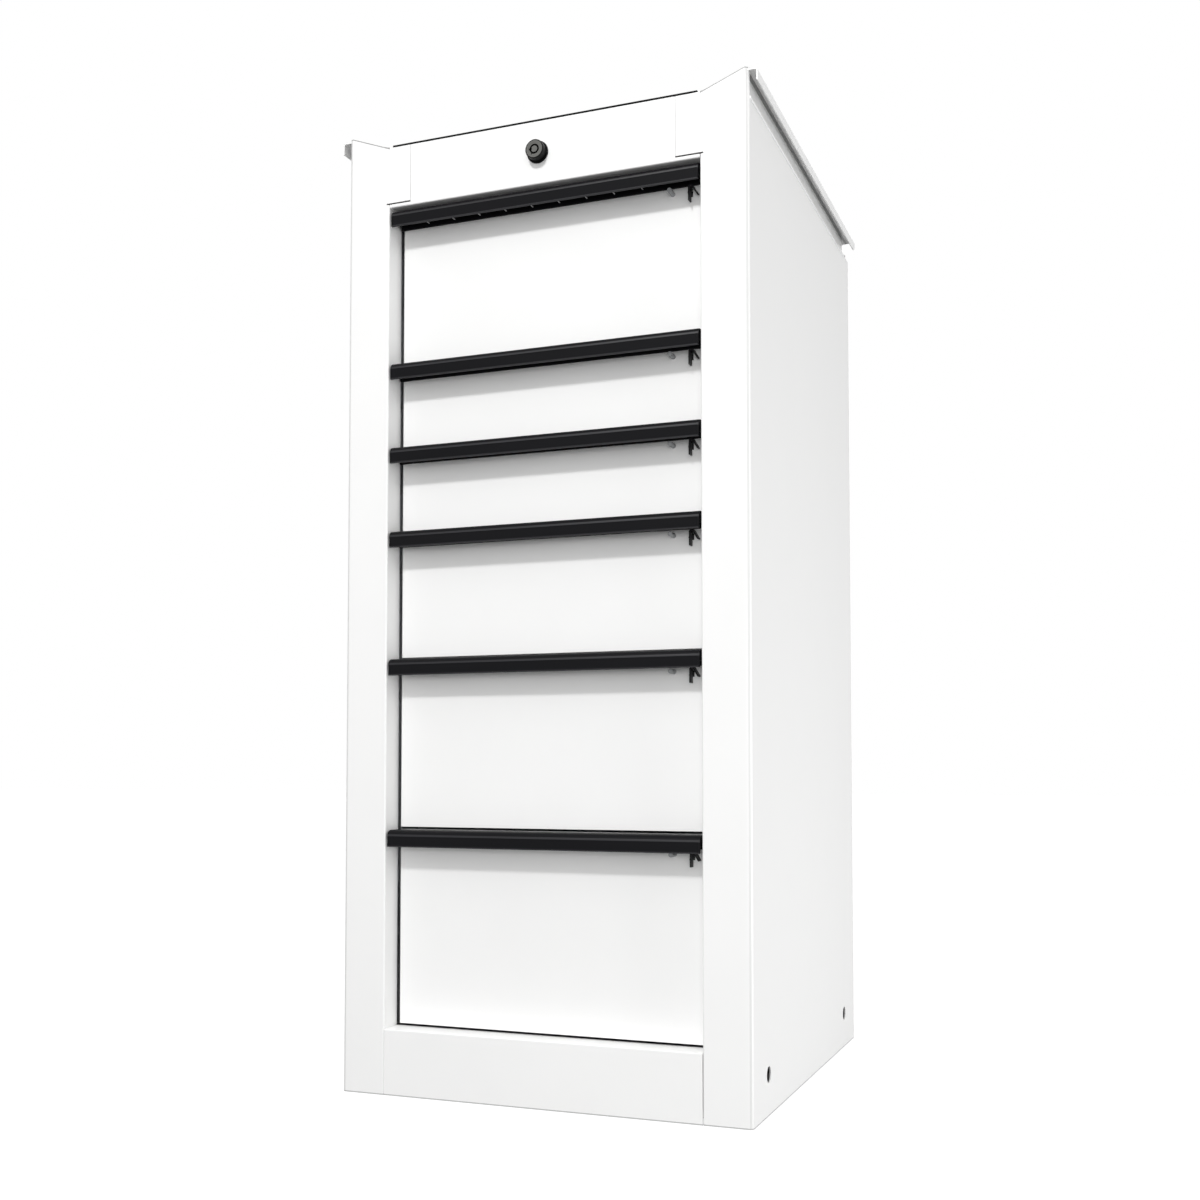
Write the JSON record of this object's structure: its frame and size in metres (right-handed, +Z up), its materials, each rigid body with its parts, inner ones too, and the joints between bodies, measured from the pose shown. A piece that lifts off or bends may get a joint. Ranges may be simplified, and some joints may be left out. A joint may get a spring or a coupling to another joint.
{
  "type": "tool side cabinet",
  "caption": "Tall narrow tool side cabinet: sheet steel case, sliding drawers with full-width dark pulls and thumb catches, a header cam lock and hooked side rails.",
  "frame": {"origin": "middle of the footprint at floor level, with the lock's nose counted in", "axes": "+Z up, the drawers face -Y and open along -Y, +X to the right seen from the front"},
  "size_m": [0.422, 0.453, 0.93],
  "materials": {
    "white_paint": "gloss powder coat",
    "dark_plastic": "satin moulded",
    "black_rubber": "ribbed mat",
    "zinc_steel": "zinc plated",
    "black_lock_metal": "black",
    "lock_face_metal": "dark satin"
  },
  "bodies": {
    "cabinet": {"side_panel_left": "white_paint", "side_panel_right": "white_paint", "header_panel": "white_paint", "kick_panel": "white_paint", "base_pan": "white_paint", "back_panel": "white_paint", "top_rail_left": "white_paint", "top_rail_right": "white_paint", "top_tray": "white_paint", "top_mat": "black_rubber", "front_slide_posts": "zinc_steel", "rear_slide_posts": "zinc_steel", "runner_screws": "zinc_steel", "lock_housing": "black_lock_metal", "lock_nut": "zinc_steel", "drawer_1_fixed_runners": "zinc_steel", "drawer_2_fixed_runners": "zinc_steel", "drawer_3_fixed_runners": "zinc_steel", "drawer_4_fixed_runners": "zinc_steel", "drawer_5_fixed_runners": "zinc_steel", "drawer_6_fixed_runners": "zinc_steel"},
    "lock_bar_body": {"lock_bar": "zinc_steel"},
    "lock_plug_body": {"lock_plug": "lock_face_metal", "lock_cam": "zinc_steel"},
    "drawer_1": {"drawer_1_box": "white_paint", "drawer_1_front": "white_paint", "drawer_1_pull": "dark_plastic", "drawer_1_inner_runners": "zinc_steel"},
    "drawer_1_middle": {"drawer_1_middle_runners": "zinc_steel"},
    "drawer_1_catch_lever": {"drawer_1_catch": "dark_plastic"},
    "drawer_2": {"drawer_2_box": "white_paint", "drawer_2_front": "white_paint", "drawer_2_pull": "dark_plastic", "drawer_2_inner_runners": "zinc_steel"},
    "drawer_2_middle": {"drawer_2_middle_runners": "zinc_steel"},
    "drawer_2_catch_lever": {"drawer_2_catch": "dark_plastic"},
    "drawer_3": {"drawer_3_box": "white_paint", "drawer_3_front": "white_paint", "drawer_3_pull": "dark_plastic", "drawer_3_inner_runners": "zinc_steel"},
    "drawer_3_middle": {"drawer_3_middle_runners": "zinc_steel"},
    "drawer_3_catch_lever": {"drawer_3_catch": "dark_plastic"},
    "drawer_4": {"drawer_4_box": "white_paint", "drawer_4_front": "white_paint", "drawer_4_pull": "dark_plastic", "drawer_4_inner_runners": "zinc_steel"},
    "drawer_4_middle": {"drawer_4_middle_runners": "zinc_steel"},
    "drawer_4_catch_lever": {"drawer_4_catch": "dark_plastic"},
    "drawer_5": {"drawer_5_box": "white_paint", "drawer_5_front": "white_paint", "drawer_5_pull": "dark_plastic", "drawer_5_inner_runners": "zinc_steel"},
    "drawer_5_middle": {"drawer_5_middle_runners": "zinc_steel"},
    "drawer_5_catch_lever": {"drawer_5_catch": "dark_plastic"},
    "drawer_6": {"drawer_6_box": "white_paint", "drawer_6_front": "white_paint", "drawer_6_pull": "dark_plastic", "drawer_6_inner_runners": "zinc_steel"},
    "drawer_6_middle": {"drawer_6_middle_runners": "zinc_steel"},
    "drawer_6_catch_lever": {"drawer_6_catch": "dark_plastic"}
  },
  "joints": [
    {"name": "drawer_1_slide", "type": "slide", "parent": "cabinet", "child": "drawer_1", "axis": [0, -1, 0], "range_m": [0, 0.35]},
    {"name": "drawer_1_middle_slide", "type": "slide", "parent": "cabinet", "child": "drawer_1_middle", "axis": [0, -1, 0], "range_m": [0, 0.175]},
    {"name": "drawer_1_catch_turn", "type": "hinge", "parent": "drawer_1", "child": "drawer_1_catch_lever", "pos_m": [0.1254, -0.193, 0.8344], "axis": [0, -1, 0], "range_deg": [0, 17.24], "stiffness_Nm_per_rad": 0.002},
    {"name": "drawer_2_slide", "type": "slide", "parent": "cabinet", "child": "drawer_2", "axis": [0, -1, 0], "range_m": [0, 0.35]},
    {"name": "drawer_2_middle_slide", "type": "slide", "parent": "cabinet", "child": "drawer_2_middle", "axis": [0, -1, 0], "range_m": [0, 0.175]},
    {"name": "drawer_2_catch_turn", "type": "hinge", "parent": "drawer_2", "child": "drawer_2_catch_lever", "pos_m": [0.1254, -0.193, 0.684], "axis": [0, -1, 0], "range_deg": [0, 17.24], "stiffness_Nm_per_rad": 0.002},
    {"name": "drawer_3_slide", "type": "slide", "parent": "cabinet", "child": "drawer_3", "axis": [0, -1, 0], "range_m": [0, 0.35]},
    {"name": "drawer_3_middle_slide", "type": "slide", "parent": "cabinet", "child": "drawer_3_middle", "axis": [0, -1, 0], "range_m": [0, 0.175]},
    {"name": "drawer_3_catch_turn", "type": "hinge", "parent": "drawer_3", "child": "drawer_3_catch_lever", "pos_m": [0.1254, -0.193, 0.602], "axis": [0, -1, 0], "range_deg": [0, 17.24], "stiffness_Nm_per_rad": 0.002},
    {"name": "drawer_4_slide", "type": "slide", "parent": "cabinet", "child": "drawer_4", "axis": [0, -1, 0], "range_m": [0, 0.35]},
    {"name": "drawer_4_middle_slide", "type": "slide", "parent": "cabinet", "child": "drawer_4_middle", "axis": [0, -1, 0], "range_m": [0, 0.175]},
    {"name": "drawer_4_catch_turn", "type": "hinge", "parent": "drawer_4", "child": "drawer_4_catch_lever", "pos_m": [0.1254, -0.193, 0.52], "axis": [0, -1, 0], "range_deg": [0, 17.24], "stiffness_Nm_per_rad": 0.002},
    {"name": "drawer_5_slide", "type": "slide", "parent": "cabinet", "child": "drawer_5", "axis": [0, -1, 0], "range_m": [0, 0.35]},
    {"name": "drawer_5_middle_slide", "type": "slide", "parent": "cabinet", "child": "drawer_5_middle", "axis": [0, -1, 0], "range_m": [0, 0.175]},
    {"name": "drawer_5_catch_turn", "type": "hinge", "parent": "drawer_5", "child": "drawer_5_catch_lever", "pos_m": [0.1254, -0.193, 0.3965], "axis": [0, -1, 0], "range_deg": [0, 17.24], "stiffness_Nm_per_rad": 0.002},
    {"name": "drawer_6_slide", "type": "slide", "parent": "cabinet", "child": "drawer_6", "axis": [0, -1, 0], "range_m": [0, 0.35]},
    {"name": "drawer_6_middle_slide", "type": "slide", "parent": "cabinet", "child": "drawer_6_middle", "axis": [0, -1, 0], "range_m": [0, 0.175]},
    {"name": "drawer_6_catch_turn", "type": "hinge", "parent": "drawer_6", "child": "drawer_6_catch_lever", "pos_m": [0.1254, -0.193, 0.2325], "axis": [0, -1, 0], "range_deg": [0, 17.24], "stiffness_Nm_per_rad": 0.002},
    {"name": "lock_bar_lift", "type": "slide", "parent": "cabinet", "child": "lock_bar_body", "axis": [0, 0, 1], "range_m": [0, 0.01414]},
    {"name": "lock_plug_turn", "type": "hinge", "parent": "cabinet", "child": "lock_plug_body", "pos_m": [0, -0.2175, 0.8848], "axis": [0, -1, 0], "range_deg": [0, 90]}
  ],
  "couplings": [
    {"joint": "drawer_1_middle_slide", "follows": "drawer_1_slide", "ratio": 0.5},
    {"joint": "drawer_2_middle_slide", "follows": "drawer_2_slide", "ratio": 0.5},
    {"joint": "drawer_3_middle_slide", "follows": "drawer_3_slide", "ratio": 0.5},
    {"joint": "drawer_4_middle_slide", "follows": "drawer_4_slide", "ratio": 0.5},
    {"joint": "drawer_5_middle_slide", "follows": "drawer_5_slide", "ratio": 0.5},
    {"joint": "drawer_6_middle_slide", "follows": "drawer_6_slide", "ratio": 0.5},
    {"joint": "lock_plug_turn", "follows": "lock_bar_lift", "rad_per_m": 111}
  ]
}
